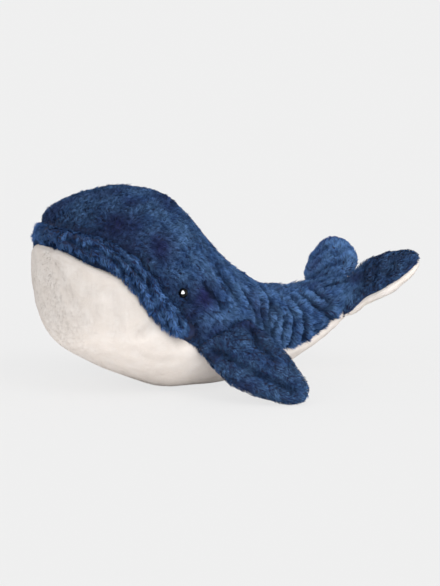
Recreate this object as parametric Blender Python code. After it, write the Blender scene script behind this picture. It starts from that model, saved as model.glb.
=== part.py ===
# A stuffed whale sewn from fur fabric, lying on its belly with its head raised
# Nose towards -Y, left side towards +X, metres, origin on the floor under the middle of the bounding box

import bpy
import bmesh
import math
import numpy as np
from mathutils import Matrix, Vector
from mathutils.bvhtree import BVHTree

for item in list(bpy.data.objects):
    bpy.data.objects.remove(item, do_unlink=True)

# Body
BODY_LENGTH = 0.397
BODY_HALF_WIDTH = 0.107
BODY_HEIGHT = 0.2236
NOSE_TO_ORIGIN = 0.21514
BODY_SKIN = 0.006

# Clearances
SEAM_GAP = 0.0005
SEAM_LEAN = math.radians(30)
FILLING_GAP = 0.0004
SEAT_GAP = 0.0003
JOINT_GAP = 0.0004
CUT_OVERRUN = 0.02

# Tail bend
TAIL_HINGE_SETBACK = 0.276
TAIL_HINGE_HEIGHT = 0.058
TAIL_KNUCKLE_RADIUS = 0.051

# Lip roll
LIP_RADIUS = 0.0130
LIP_SKIN = 0.004
LIP_SINK = 0.004
LIP_AXIS_SETBACK = 0.101

# Flippers
FLIPPER_LENGTH = 0.112
FLIPPER_HALF_CHORD = 0.041
FLIPPER_ROOT_HALF_CHORD = 0.039
FLIPPER_HALF_THICKNESS = 0.017
FLIPPER_KNUCKLE_RADIUS = 0.014
FLIPPER_SETBACK = 0.174
FLIPPER_OUT = 0.100
FLIPPER_HEIGHT = 0.0617
FLIPPER_DROOP = 32.0
FLIPPER_SWEEP = 24.0
FLIPPER_PITCH = 14.0

# Flukes
FLUKE_LENGTH = 0.095
FLUKE_HALF_CHORD = 0.040
FLUKE_ROOT_HALF_CHORD = 0.025
FLUKE_HALF_THICKNESS = 0.0145
FLUKE_KNUCKLE_RADIUS = 0.0150
FLUKE_SETBACK = 0.380
FLUKE_OUT = 0.0292
FLUKE_HEIGHT = 0.0880
FLUKE_TURN = 46.0
FLUKE_PITCH = 45.0
FLUKE_SEAM_TURN = math.radians(20)
LIMB_SKIN = 0.0045

# Eyes
EYE_RADIUS = 0.00525
EYE_RISE = 0.0042
EYE_RECESS = 0.0020
EYE_POST_RADIUS = 0.0018
EYE_POST_LENGTH = 0.0140
EYE_SETBACK = 0.1135
EYE_HEIGHT = 0.1195
WASHER_RADIUS = 0.0080
WASHER_THICKNESS = 0.0016
WASHER_DEPTH = 0.0080

# Body stations from the nose: shares of the length, half width, and height of the
# underside, widest line and top, then the seam's turn below the widest line in degrees
BODY_STATION_SHARES = (
    (0.0000, 0.000, 0.731, 0.731, 0.731, -20),
    (0.0040, 0.230, 0.538, 0.701, 0.790, -17),
    (0.0200, 0.440, 0.368, 0.662, 0.848, -12),
    (0.0570, 0.675, 0.244, 0.609, 0.920, -8),
    (0.1040, 0.820, 0.185, 0.584, 0.961, -5),
    (0.1490, 0.920, 0.140, 0.569, 0.983, 1),
    (0.1940, 0.970, 0.099, 0.558, 0.996, 13),
    (0.2650, 1.000, 0.048, 0.538, 1.000, 23),
    (0.3450, 1.000, 0.001, 0.482, 0.968, 27),
    (0.4380, 0.950, -0.0022, 0.406, 0.786, 29),
    (0.5360, 0.830, -0.0022, 0.340, 0.623, 27),
    (0.6320, 0.680, 0.010, 0.305, 0.512, 24),
    (0.7310, 0.540, 0.047, 0.289, 0.453, 28),
    (0.8210, 0.470, 0.085, 0.294, 0.447, 22),
    (0.9040, 0.430, 0.168, 0.355, 0.465, 11),
    (0.9600, 0.340, 0.279, 0.411, 0.482, 2),
    (1.0000, 0.000, 0.406, 0.406, 0.406, 0),
)
BODY_ROUNDNESS = 2.25
RINGS_PER_STATION = 2
BACK_COLUMNS = 18
BELLY_COLUMNS = 12
MIRROR_COLUMN = BACK_COLUMNS // 2

# Lip stations: turn from straight ahead in degrees, share of the body height
LIP_HEIGHT_SHARES = (
    (0, 0.800),
    (20, 0.787),
    (36, 0.763),
    (50, 0.731),
    (64, 0.662),
    (72, 0.589),
    (78, 0.518),
    (85, 0.442),
    (93, 0.376),
    (102, 0.317),
)
LIP_SIZE_SHARES = (0.85, 0.88, 0.92, 0.97, 1.0, 1.0, 1.0, 0.95, 0.85, 0.60)
LIP_SINK_SHARES = (1.25, 1.25, 1.2, 1.1, 1.0, 1.0, 1.0, 1.0, 1.0, 1.0)
LIP_STEPS = 20
LIP_SIDES = 10

# Limb stations from the hinge line: shares of the length, of the half chord for the
# middle's shift towards the back edge, of the half chord and of the half thickness
FLIPPER_STATION_SHARES = (
    (0.15, -0.04, 0.97, 0.92),
    (0.38, -0.05, 0.98, 1.00),
    (0.62, 0.00, 0.81, 0.90),
    (0.84, 0.09, 0.55, 0.66),
    (0.95, 0.15, 0.32, 0.40),
    (1.00, 0.17, 0.00, 0.00),
)
FLUKE_STATION_SHARES = (
    (0.21, 0.17, 0.95, 0.85),
    (0.48, 0.10, 0.93, 1.00),
    (0.75, 0.03, 0.72, 0.86),
    (0.89, 0.02, 0.50, 0.60),
    (0.97, 0.02, 0.28, 0.34),
    (1.00, 0.02, 0.00, 0.00),
)
KNUCKLE_TURNS = (90, 60, 30, 0)
LIMB_COLUMNS = 10
LIMB_RINGS_PER_STATION = 1
KNUCKLE_STEPS = 24
LATHE_STEPS = 24
DOME_STEPS = 6

SIDES = (("left", 1), ("right", -1))
FORWARD = Vector((0, -1, 0))
OUTWARD = Vector((1, 0, 0))
UPWARD = Vector((0, 0, 1))


# Materials

def make_material(name, color, roughness):
    material = bpy.data.materials.new(name)
    material.use_nodes = True
    shader = material.node_tree.nodes["Principled BSDF"]
    shader.inputs["Base Color"].default_value = (*color, 1)
    shader.inputs["Roughness"].default_value = roughness
    shader.inputs["Metallic"].default_value = 0
    return material


blue_fur = make_material("blue_fur_fabric", (0.030, 0.055, 0.150), 0.9)
ecru_pile = make_material("ecru_pile_fabric", (0.780, 0.710, 0.640), 0.9)
filling = make_material("polyester_filling", (0.900, 0.900, 0.880), 1.0)
black_plastic = make_material("black_moulded_plastic", (0.010, 0.010, 0.012), 0.1)
clear_nylon = make_material("natural_nylon", (0.800, 0.780, 0.720), 0.4)


# Mesh helpers

def add_object(name, mesh, material):
    body = bpy.data.objects.new(name, mesh)
    bpy.context.scene.collection.objects.link(body)
    if material:
        mesh.materials.append(material)
        mesh.shade_smooth()
        mesh.set_sharp_from_angle(angle=math.radians(40))
    else:
        body.hide_render = True
        body.display_type = "WIRE"
    return body


def closed_mesh(name, points, faces):
    # Welds the doubled points of poles and edges, and turns all faces outwards
    shape = bmesh.new()
    corners = [shape.verts.new(point) for point in points]
    for face in faces:
        shape.faces.new([corners[index] for index in face])
    weld = min(SEAM_GAP, JOINT_GAP) / 20
    bmesh.ops.remove_doubles(shape, verts=shape.verts, dist=weld)
    bmesh.ops.dissolve_degenerate(shape, edges=shape.edges, dist=weld)
    bmesh.ops.recalc_face_normals(shape, faces=shape.faces)
    mesh = bpy.data.meshes.new(name)
    shape.to_mesh(mesh)
    shape.free()
    return mesh


def set_origin(body, origin):
    # A moving piece turns about its own origin, which lies on its joint's axis
    body.data.transform(Matrix.Translation(-origin))
    body.location = origin


def cut(body, cutter, operation="DIFFERENCE"):
    step = body.modifiers.new(cutter.name, "BOOLEAN")
    step.operation = operation
    step.solver = "EXACT"
    step.object = cutter


def lathe(name, profile, origin, direction, material):
    # Turns a profile of (radius, height) points about a line through the origin
    side = direction.orthogonal().normalized()
    other = direction.cross(side)
    points = []
    for step in range(LATHE_STEPS):
        angle = math.tau * step / LATHE_STEPS
        spoke = side * math.cos(angle) + other * math.sin(angle)
        points += [origin + spoke * radius + direction * height for radius, height in profile]
    count = len(profile)
    faces = []
    for step in range(LATHE_STEPS):
        after = (step + 1) % LATHE_STEPS
        for row in range(count):
            following = (row + 1) % count
            if profile[row][0] + profile[following][0] < SEAM_GAP / 100:
                continue
            faces.append((
                step * count + row,
                after * count + row,
                after * count + following,
                step * count + following,
            ))
    return add_object(name, closed_mesh(name, points, faces), material)


# Lofted forms

def smooth_row(rows, place):
    # A row read off the smooth curve through all rows, at a row number with a fraction
    last = len(rows) - 1
    first = min(int(place), last - 1)
    share = place - first
    near = [np.array(rows[min(max(first + step, 0), last)], float) for step in (-1, 0, 1, 2)]
    before, start, end, after = near
    rise_in = (end - before) / 2
    rise_out = (after - start) / 2
    bend = 2 * start - 2 * end + rise_in + rise_out
    swing = 3 * end - 3 * start - 2 * rise_in - rise_out
    return start + share * (rise_in + share * (swing + share * bend))


def rounded(angle, roundness):
    # The two coordinates of a unit superellipse, fuller than a circle above a roundness of 2
    across, up = math.cos(angle), math.sin(angle)
    power = 2 / roundness
    return (
        math.copysign(abs(across) ** power, across),
        math.copysign(abs(up) ** power, up),
    )


def section(middle, across, up, half_width, rise, drop, turns, roundness):
    points = []
    for turn in turns:
        width_share, height_share = rounded(turn, roundness)
        height = (rise if height_share > 0 else drop) * height_share
        points.append(middle + across * (half_width * width_share) + up * height)
    return points


def spread(first, last, steps):
    return [first + (last - first) * step / steps for step in range(steps + 1)]


def grid_normals(grid):
    # The mean outward direction at each point of a closed grid, shared by points that meet
    sums = {}
    columns = len(grid[0])

    def key(point):
        return tuple(round(value / (SEAM_GAP / 100)) for value in point)

    for ring, following in zip(grid, grid[1:]):
        for column in range(columns):
            beside = (column + 1) % columns
            quad = (ring[column], ring[beside], following[beside], following[column])
            direction = (quad[3] - quad[1]).cross(quad[2] - quad[0])
            for corner in quad:
                sums[key(corner)] = sums.get(key(corner), Vector((0, 0, 0))) + direction
    return [[sums[key(point)].normalized() for point in ring] for ring in grid]


def sunk(grid, depth):
    normals = grid_normals(grid)
    return [
        [point + normal * depth for point, normal in zip(ring, row)]
        for ring, row in zip(grid, normals)
    ]


def grid_triangles(near, far, column, columns):
    # Two triangles between two rings, split the same way on each skin and mirrored across
    beside = (column + 1) % columns
    corners = (near + column, near + beside, far + beside, far + column)
    turned = MIRROR_COLUMN <= column < MIRROR_COLUMN + columns / 2
    picks = ((0, 1, 2), (0, 2, 3)) if turned else ((0, 1, 3), (1, 2, 3))
    return [tuple(corners[pick] for pick in triangle) for triangle in picks]


def form_solid(name, grid, material):
    columns = len(grid[0])
    points = [point for ring in grid for point in ring]
    faces = []
    for ring in range(len(grid) - 1):
        for column in range(columns):
            faces += grid_triangles(ring * columns, (ring + 1) * columns, column, columns)
    return add_object(name, closed_mesh(name, points, faces), material)


def form_panel(name, outer, inner, columns, shift, material):
    # One panel of the skin: two sheets over a run of columns, joined all round their rim
    def sheet(grid):
        return [[ring[column % len(ring)] + shift for column in columns] for ring in grid]

    sheets = sheet(outer), sheet(inner)
    rings = len(outer)
    count = len(columns)
    points = [point for one in sheets for ring in one for point in ring]
    base = rings * count

    def at(ring, column):
        return ring * count + column

    faces = []
    whole = len(outer[0])
    for ring in range(rings - 1):
        for column in range(count - 1):
            for triangle in grid_triangles(0, whole, columns[column], whole):
                # Numbers on the whole grid become numbers on this panel
                corners = [
                    at(ring + corner // whole, (corner - columns[0]) % whole)
                    for corner in triangle
                ]
                faces.append(tuple(corners))
                faces.append(tuple(base + corner for corner in reversed(corners)))
    rim = [at(ring, 0) for ring in range(rings)]
    rim += [at(rings - 1, column) for column in range(1, count)]
    rim += [at(ring, count - 1) for ring in reversed(range(rings - 1))]
    rim += [at(0, column) for column in reversed(range(1, count - 1))]
    for corner, following in zip(rim, rim[1:] + rim[:1]):
        # Both panels of a seam split their rim along the same diagonals, so the gap stays even
        if corner // count <= following // count:
            faces.append((corner, following, base + following))
            faces.append((corner, base + following, base + corner))
        else:
            faces.append((corner, following, base + corner))
            faces.append((following, base + following, base + corner))
    return add_object(name, closed_mesh(name, points, faces), material)


# Body form

def body_grid():
    grid = []
    last = len(BODY_STATION_SHARES) - 1
    for step in range(last * RINGS_PER_STATION + 1):
        row = smooth_row(BODY_STATION_SHARES, step / RINGS_PER_STATION)
        along, half_width, underside, widest, top = row[:5]
        seam = math.radians(row[5])
        middle = Vector((0, along * BODY_LENGTH - NOSE_TO_ORIGIN, widest * BODY_HEIGHT))
        over = spread(-seam, math.pi + seam, BACK_COLUMNS)
        under = spread(math.pi + seam, math.tau - seam, BELLY_COLUMNS)
        grid.append(section(
            middle,
            OUTWARD,
            UPWARD,
            max(half_width, 0) * BODY_HALF_WIDTH,
            max(top - widest, 0) * BODY_HEIGHT,
            max(widest - underside, 0) * BODY_HEIGHT,
            over[:-1] + under[:-1],
            BODY_ROUNDNESS,
        ))
    return grid


def form_tree(grid):
    columns = len(grid[0])
    faces = []
    for ring in range(len(grid) - 1):
        for column in range(columns):
            faces += grid_triangles(ring * columns, (ring + 1) * columns, column, columns)
    return BVHTree.FromPolygons([point for ring in grid for point in ring], faces)


def hinge_cutter(name, centre, axis, outward, radius, half_length, reach, half_height):
    # A half round socket about the hinge line, then everything out towards the limb
    up = axis.cross(outward)
    outline = [
        (-math.cos(angle) * radius, math.sin(angle) * radius)
        for angle in spread(-math.pi / 2, math.pi / 2, KNUCKLE_STEPS)
    ]
    if half_height > radius:
        outline = [(0, -half_height)] + outline + [(0, half_height)]
    outline = [(reach, -half_height)] + outline + [(reach, half_height)]
    points = []
    for end in (-half_length, half_length):
        points += [centre + axis * end + outward * x + up * y for x, y in outline]
    count = len(outline)
    faces = [tuple(range(count)), tuple(reversed(range(count, 2 * count)))]
    for corner in range(count):
        following = (corner + 1) % count
        faces.append((corner, corner + count, following + count, following))
    return add_object(name, closed_mesh(name, points, faces), None)


# Limb forms

def limb_frame(side, droop, sweep, pitch):
    # Directions out along the limb, back across its chord and up through it
    droop, sweep, pitch = (math.radians(angle) for angle in (droop, sweep, pitch))
    span = Vector((
        math.cos(droop) * math.cos(sweep),
        math.cos(droop) * math.sin(sweep),
        -math.sin(droop),
    ))
    chord = Vector((0, math.cos(pitch), math.sin(pitch)))
    chord = (chord - span * chord.dot(span)).normalized()
    top = span.cross(chord)
    span, chord, top = (Vector((axis.x * side, axis.y, axis.z)) for axis in (span, chord, top))
    return span, chord, top


def fluke_frame(side):
    turn = math.radians(FLUKE_TURN)
    pitch = math.radians(FLUKE_PITCH)
    back = Vector((0, math.cos(pitch), math.sin(pitch)))
    top = Vector((0, -math.sin(pitch), math.cos(pitch)))
    span = OUTWARD * (side * math.sin(turn)) + back * math.cos(turn)
    chord = OUTWARD * (-side * math.cos(turn)) + back * math.sin(turn)
    return span, chord, top


def limb_grid(
    frame, seam, centre, shares, length, half_chord, root_half_chord, half_thickness, radius
):
    span, chord, top = frame
    rows = []
    for turn in KNUCKLE_TURNS:
        angle = math.radians(turn)
        depth = radius * math.sin(angle)
        rows.append((-depth, 0, root_half_chord, radius * math.cos(angle), 0))
    for along, shift, wide, thick in shares:
        rows.append((
            along * length,
            shift * half_chord,
            wide * half_chord,
            thick * half_thickness,
            seam,
        ))
    grid = []
    for step in range((len(rows) - 1) * LIMB_RINGS_PER_STATION + 1):
        along, shift, wide, thick, lift = smooth_row(rows, step / LIMB_RINGS_PER_STATION)
        # The seam runs along the back edge, and above the front edge by its own turn
        front = math.pi - lift
        turns = spread(0, front, LIMB_COLUMNS)[:-1] + spread(front, math.tau, LIMB_COLUMNS)[:-1]
        middle = centre + span * along + chord * shift
        wide = max(wide, 0)
        thick = max(thick, 0)
        grid.append(section(middle, chord, top, wide, thick, thick, turns, 2))
    return grid


def add_limb(name, panels, frame, seam, centre, shares, length, *sizes):
    # Two skin panels sewn round their edge, with the filling between them
    upper_name, upper_material, lower_name, lower_material = panels
    outer = limb_grid(frame, seam, centre, shares, length, *sizes)

    def smaller(depth):
        smaller_sizes = (size - depth for size in sizes)
        return limb_grid(frame, seam, centre, shares, length - depth, *smaller_sizes)

    shift = frame[2] * (SEAM_GAP / 2)
    upper = list(range(LIMB_COLUMNS + 1))
    lower = list(range(LIMB_COLUMNS, 2 * LIMB_COLUMNS + 1))
    inner = smaller(LIMB_SKIN)
    pieces = (
        form_panel(name + "_" + upper_name, outer, inner, upper, shift, upper_material),
        form_panel(name + "_" + lower_name, outer, inner, lower, -shift, lower_material),
        form_solid(name + "_stuffing", smaller(LIMB_SKIN + FILLING_GAP), filling),
    )
    for piece in pieces:
        set_origin(piece, centre)


# The body, cut at the tail hinge and hollowed for the limbs and the eyes

outer_body = body_grid()
inner_body = sunk(outer_body, -BODY_SKIN)
filling_body = sunk(outer_body, -BODY_SKIN - FILLING_GAP)
body_tree = form_tree(outer_body)

tail_hinge = Vector((0, TAIL_HINGE_SETBACK - NOSE_TO_ORIGIN, TAIL_HINGE_HEIGHT))
tail_bar = (tail_hinge, OUTWARD, -FORWARD)
tail_bar_size = (BODY_HALF_WIDTH + CUT_OVERRUN, BODY_LENGTH)
tail_cutter = hinge_cutter(
    "tail_cutter",
    *tail_bar,
    TAIL_KNUCKLE_RADIUS,
    *tail_bar_size,
    TAIL_KNUCKLE_RADIUS + CUT_OVERRUN,
)
torso_cutter = hinge_cutter(
    "torso_cutter",
    *tail_bar,
    TAIL_KNUCKLE_RADIUS + JOINT_GAP,
    *tail_bar_size,
    TAIL_KNUCKLE_RADIUS + CUT_OVERRUN,
)

floor_points = [
    Vector((x, y, z))
    for x in (-BODY_HALF_WIDTH, BODY_HALF_WIDTH)
    for y in (-BODY_LENGTH, BODY_LENGTH)
    for z in (-CUT_OVERRUN, 0)
]
floor_faces = ((0, 1, 3, 2), (4, 6, 7, 5), (0, 4, 5, 1), (2, 3, 7, 6), (0, 2, 6, 4), (1, 5, 7, 3))
floor_cutter = add_object("floor_cutter", closed_mesh("floor_cutter", floor_points, floor_faces), None)

flipper_frames = {}
fluke_frames = {}
flipper_roots = {}
fluke_roots = {}
flipper_cutters = []
fluke_cutters = []
for side_name, side in SIDES:
    flipper_frames[side_name] = limb_frame(side, FLIPPER_DROOP, FLIPPER_SWEEP, FLIPPER_PITCH)
    flipper_roots[side_name] = Vector((
        side * FLIPPER_OUT,
        FLIPPER_SETBACK - NOSE_TO_ORIGIN,
        FLIPPER_HEIGHT,
    ))
    fluke_frames[side_name] = fluke_frame(side)
    fluke_roots[side_name] = Vector((
        side * FLUKE_OUT,
        FLUKE_SETBACK - NOSE_TO_ORIGIN,
        FLUKE_HEIGHT,
    ))
    span, chord, top = flipper_frames[side_name]
    flipper_cutters.append(hinge_cutter(
        "flipper_socket_" + side_name,
        flipper_roots[side_name],
        chord,
        span,
        FLIPPER_KNUCKLE_RADIUS + JOINT_GAP,
        FLIPPER_ROOT_HALF_CHORD + JOINT_GAP,
        FLIPPER_LENGTH,
        FLIPPER_HALF_THICKNESS + JOINT_GAP,
    ))
    span, chord, top = fluke_frames[side_name]
    fluke_cutters.append(hinge_cutter(
        "fluke_socket_" + side_name,
        fluke_roots[side_name],
        chord,
        span,
        FLUKE_KNUCKLE_RADIUS + JOINT_GAP,
        FLUKE_ROOT_HALF_CHORD + CUT_OVERRUN,
        FLUKE_LENGTH,
        FLUKE_KNUCKLE_RADIUS + CUT_OVERRUN,
    ))

back_columns = list(range(BACK_COLUMNS + 1))
belly_columns = list(range(BACK_COLUMNS, BACK_COLUMNS + BELLY_COLUMNS + 1))
seam_shift = (UPWARD * math.cos(SEAM_LEAN) - FORWARD * math.sin(SEAM_LEAN)) * (SEAM_GAP / 2)

back_panel = form_panel(
    "back_panel", outer_body, inner_body, back_columns, seam_shift, blue_fur
)
belly_panel = form_panel(
    "belly_panel", outer_body, inner_body, belly_columns, -seam_shift, ecru_pile
)
body_stuffing = form_solid("body_stuffing", filling_body, filling)
for piece in (back_panel, belly_panel, body_stuffing):
    cut(piece, torso_cutter)
    for cutter in flipper_cutters:
        cut(piece, cutter)
cut(belly_panel, floor_cutter)

tail_top = form_panel("tail_top", outer_body, inner_body, back_columns, seam_shift, blue_fur)
tail_underside = form_panel(
    "tail_underside", outer_body, inner_body, belly_columns, -seam_shift, ecru_pile
)
tail_stuffing = form_solid("tail_stuffing", filling_body, filling)
for piece in (tail_top, tail_underside, tail_stuffing):
    set_origin(piece, tail_hinge)
    cut(piece, tail_cutter, "INTERSECT")
    for cutter in fluke_cutters:
        cut(piece, cutter)

# Flippers and flukes

for side_name, side in SIDES:
    add_limb(
        "flipper_" + side_name,
        ("upper", blue_fur, "lower", blue_fur),
        flipper_frames[side_name],
        0,
        flipper_roots[side_name],
        FLIPPER_STATION_SHARES,
        FLIPPER_LENGTH,
        FLIPPER_HALF_CHORD,
        FLIPPER_ROOT_HALF_CHORD,
        FLIPPER_HALF_THICKNESS,
        FLIPPER_KNUCKLE_RADIUS,
    )
    add_limb(
        "fluke_" + side_name,
        ("top", blue_fur, "underside", ecru_pile),
        fluke_frames[side_name],
        FLUKE_SEAM_TURN,
        fluke_roots[side_name],
        FLUKE_STATION_SHARES,
        FLUKE_LENGTH,
        FLUKE_HALF_CHORD,
        FLUKE_ROOT_HALF_CHORD,
        FLUKE_HALF_THICKNESS,
        FLUKE_KNUCKLE_RADIUS,
    )

# Lip roll along the mouth, seated on the body


def lip_route():
    # Middle, outward direction and size share of the roll at each step from right to left
    turns = [row[0] for row in LIP_HEIGHT_SHARES]
    heights = [row[1] for row in LIP_HEIGHT_SHARES]
    route = []
    for turn in spread(-turns[-1], turns[-1], 2 * LIP_STEPS):
        height = np.interp(abs(turn), turns, heights) * BODY_HEIGHT
        size = np.interp(abs(turn), turns, LIP_SIZE_SHARES)
        sink = np.interp(abs(turn), turns, LIP_SINK_SHARES) * LIP_SINK
        angle = math.radians(turn)
        ray = Vector((math.sin(angle), -math.cos(angle), 0))
        start = Vector((0, LIP_AXIS_SETBACK - NOSE_TO_ORIGIN, height))
        place, normal, _, _ = body_tree.ray_cast(start, ray)
        outward = normal if normal.dot(ray) > 0 else -normal
        route.append((place - outward * sink, outward, size))
    return route


def lip_tube(name, radius, material):
    route = lip_route()
    grid = []
    for index, (middle, outward, size) in enumerate(route):
        ahead = route[min(index + 1, len(route) - 1)][0]
        behind = route[max(index - 1, 0)][0]
        along = (ahead - behind).normalized()
        up = outward.cross(along).normalized()
        across = along.cross(up)
        end = index in (0, len(route) - 1)
        reach = 0 if end else radius * size
        turns = spread(0, math.tau, LIP_SIDES)[:-1]
        grid.append(section(middle, across, up, reach, reach, reach, turns, 2))
    return form_solid(name, grid, material)


lip_roll = lip_tube("lip_roll", LIP_RADIUS, blue_fur)
lip_hollow = lip_tube("lip_hollow", LIP_RADIUS - LIP_SKIN, None)
lip_stuffing = lip_tube("lip_stuffing", LIP_RADIUS - LIP_SKIN - FILLING_GAP, filling)
seat_cutter = form_solid("lip_seat", sunk(outer_body, SEAT_GAP), None)
cut(lip_roll, lip_hollow)
for piece in (lip_roll, lip_stuffing):
    cut(piece, seat_cutter)

# Eyes, each with its post through the back panel and its locking washer


for side_name, side in SIDES:
    middle = Vector((0, EYE_SETBACK - NOSE_TO_ORIGIN, EYE_HEIGHT))
    place, normal, _, _ = body_tree.ray_cast(middle, OUTWARD * side)
    direction = OUTWARD * side
    dome = [
        (EYE_RADIUS * math.cos(angle), EYE_RISE * math.sin(angle))
        for angle in spread(0, math.pi / 2, DOME_STEPS)
    ]
    post = [
        (0, -EYE_POST_LENGTH),
        (EYE_POST_RADIUS, -EYE_POST_LENGTH),
        (EYE_POST_RADIUS, -EYE_RECESS),
        (EYE_RADIUS, -EYE_RECESS),
    ]
    lathe("eye_" + side_name, post + dome, place, direction, black_plastic)
    hole = [
        (0, -EYE_POST_LENGTH - CUT_OVERRUN),
        (EYE_POST_RADIUS + SEAT_GAP, -EYE_POST_LENGTH - CUT_OVERRUN),
        (EYE_POST_RADIUS + SEAT_GAP, -EYE_RECESS - SEAT_GAP),
        (EYE_RADIUS + SEAT_GAP, -EYE_RECESS - SEAT_GAP),
        (EYE_RADIUS + SEAT_GAP, CUT_OVERRUN),
        (0, CUT_OVERRUN),
    ]
    cut(back_panel, lathe("eye_hole_" + side_name, hole, place, direction, None))
    washer = [
        (EYE_POST_RADIUS + SEAT_GAP, -WASHER_DEPTH - WASHER_THICKNESS),
        (WASHER_RADIUS, -WASHER_DEPTH - WASHER_THICKNESS),
        (WASHER_RADIUS, -WASHER_DEPTH),
        (EYE_POST_RADIUS + SEAT_GAP, -WASHER_DEPTH),
    ]
    lathe("eye_washer_" + side_name, washer, place, direction, clear_nylon)
    pocket = [
        (0, -EYE_POST_LENGTH - SEAT_GAP),
        (WASHER_RADIUS + SEAT_GAP, -EYE_POST_LENGTH - SEAT_GAP),
        (WASHER_RADIUS + SEAT_GAP, CUT_OVERRUN),
        (0, CUT_OVERRUN),
    ]
    cut(body_stuffing, lathe("eye_pocket_" + side_name, pocket, place, direction, None))
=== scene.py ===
# A stuffed whale: dark blue rabbit-fur plush above, ecru short plush below, a rolled lip,
# black safety eyes, two flippers and a raised tail with two flukes, lying on its belly

import bpy
import bmesh
import math
import numpy as np
from mathutils import Euler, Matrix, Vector, noise
from mathutils.bvhtree import BVHTree
from mathutils.kdtree import KDTree


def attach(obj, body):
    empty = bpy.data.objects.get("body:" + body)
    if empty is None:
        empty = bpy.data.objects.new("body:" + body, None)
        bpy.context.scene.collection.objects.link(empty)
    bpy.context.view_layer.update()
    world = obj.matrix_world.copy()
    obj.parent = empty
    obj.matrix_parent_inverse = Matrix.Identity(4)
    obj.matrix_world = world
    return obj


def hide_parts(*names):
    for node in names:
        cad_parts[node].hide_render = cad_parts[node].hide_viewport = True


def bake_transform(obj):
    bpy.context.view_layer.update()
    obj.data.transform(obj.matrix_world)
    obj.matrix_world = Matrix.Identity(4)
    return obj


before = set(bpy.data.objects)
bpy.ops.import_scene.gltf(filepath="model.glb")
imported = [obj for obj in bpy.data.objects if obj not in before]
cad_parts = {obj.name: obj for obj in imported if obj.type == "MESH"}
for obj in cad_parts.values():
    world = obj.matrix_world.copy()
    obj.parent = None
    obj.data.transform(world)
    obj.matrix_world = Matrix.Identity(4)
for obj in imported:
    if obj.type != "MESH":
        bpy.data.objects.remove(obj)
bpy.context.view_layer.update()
millimetre = 0.001
tiny = 1e-12  # keeps a division from having nothing under it
far = 1e9  # further than anything on the object
sides = (("left", 1), ("right", -1))


# Colours and node helper

def hexColour(text):
    # sRGB hex to the linear values that Blender's sockets take
    values = [int(text[place:place + 2], 16) / 255 for place in (0, 2, 4)]
    linear = [v / 12.92 if v <= 0.04045 else ((v + 0.055) / 1.055) ** 2.4 for v in values]
    return (*linear, 1.0)


def addNode(tree, kind, inputs=None, **settings):
    # Adds one node; an input is a value, or a socket of another node to link from
    node = tree.nodes.new(kind)
    for key, value in settings.items():
        setattr(node, key, value)
    for key, value in (inputs or {}).items():
        if isinstance(value, bpy.types.NodeSocket):
            tree.links.new(value, node.inputs[key])
        else:
            node.inputs[key].default_value = value
    return node


def addObject(name, data):
    thing = bpy.data.objects.new(name, data)
    bpy.context.scene.collection.objects.link(thing)
    return thing


def startMaterial(name, roughness, sheen=0.0, sheenRoughness=0.5, specular=0.5, sheenTint="FFFFFF"):
    material = bpy.data.materials.new(name)
    material.use_nodes = True
    tree = material.node_tree
    shader = tree.nodes["Principled BSDF"]
    shader.inputs["Roughness"].default_value = roughness
    shader.inputs["Sheen Weight"].default_value = sheen
    shader.inputs["Sheen Roughness"].default_value = sheenRoughness
    shader.inputs["Sheen Tint"].default_value = hexColour(sheenTint)
    shader.inputs["Specular IOR Level"].default_value = specular
    return material, tree, shader


def patchFactor(tree, place, size, share):
    # Soft patches of a real size, from none to the given share
    patches = addNode(tree, "ShaderNodeTexNoise", {
        "Vector": place, "Scale": 1 / size, "Detail": 3.0, "Roughness": 0.6,
    })
    return addNode(tree, "ShaderNodeMapRange", {
        "Value": patches.outputs["Fac"], "From Min": 0.38, "From Max": 0.64,
        "To Min": 0.0, "To Max": share,
    }).outputs["Result"]


def paintShader(tree, shader, colour, shade):
    # Base colour: the cloth's colour times the shade that its mesh carries, which is painted shade
    # and light, with the strands' own random tone
    toned = addNode(tree, "ShaderNodeVectorMath", {0: colour, "Scale": shade}, operation="SCALE")
    tree.links.new(toned.outputs["Vector"], shader.inputs["Base Color"])


def pileMaterial(name, look):
    # Strands: dark at the root where light can't reach, paler at the tip, in patches brushed
    # towards a paler tone and patches laid over to a deeper one
    material, tree, shader = startMaterial(
        name, look["roughness"], look["sheen"], look["sheenRoughness"],
        look["specular"], look["sheenTint"],
    )
    place = addNode(tree, "ShaderNodeTexCoord").outputs["Object"]
    tip, shade, laid = (
        addNode(tree, "ShaderNodeAttribute", attribute_name=label).outputs["Fac"]
        for label in ("pileTip", "pileShade", "pileLaid")
    )
    colour = addNode(tree, "ShaderNodeMix", {
        "Factor": tip, "A": hexColour(look["root"]), "B": hexColour(look["tip"]),
    }, data_type="RGBA")
    brushed = patchFactor(tree, place, look["patchSize"], look["patchShare"])
    for factor, tone in ((brushed, look["brushed"]), (laid, look["laidOver"])):
        colour = addNode(tree, "ShaderNodeMix", {
            "Factor": factor, "A": colour.outputs["Result"], "B": hexColour(tone),
        }, data_type="RGBA")
    paintShader(tree, shader, colour.outputs["Result"], shade)
    return material


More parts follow.
